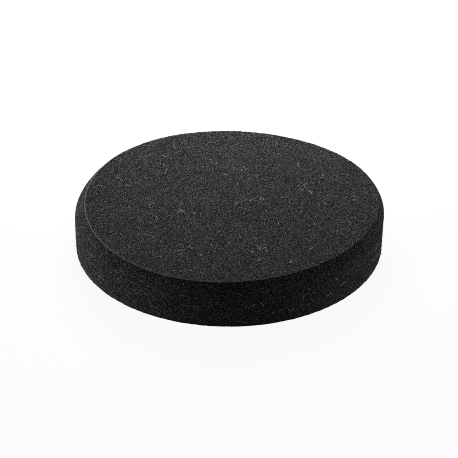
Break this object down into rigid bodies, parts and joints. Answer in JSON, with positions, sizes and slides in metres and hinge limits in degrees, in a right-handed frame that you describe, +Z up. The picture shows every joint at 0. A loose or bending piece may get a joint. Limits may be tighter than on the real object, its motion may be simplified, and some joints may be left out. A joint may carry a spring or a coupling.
{
  "type": "polishing pad",
  "caption": "Round foam finishing pad with a flat working face, a curved shoulder and a hook-and-loop backing, for a dual-action car polisher.",
  "frame": {"origin": "centre of the underside, on the surface that the loop pile rests on", "axes": "+Z up through the middle of the disc, out of the foam working face"},
  "size_m": [0.15, 0.15, 0.0223],
  "materials": {
    "foam": "black open-cell polyurethane foam, cut surface, fully matt",
    "adhesive": "hot-melt lamination film, dull black, seen only at its cut edge",
    "backing_knit": "warp-knitted black polyamide ground",
    "loops": "brushed black polyamide loops with a slight sheen"
  },
  "bodies": {
    "root": {"foam_disc": "foam", "adhesive_film": "adhesive", "backing_cloth": "backing_knit", "loop_pile": "loops"}
  },
  "joints": []
}
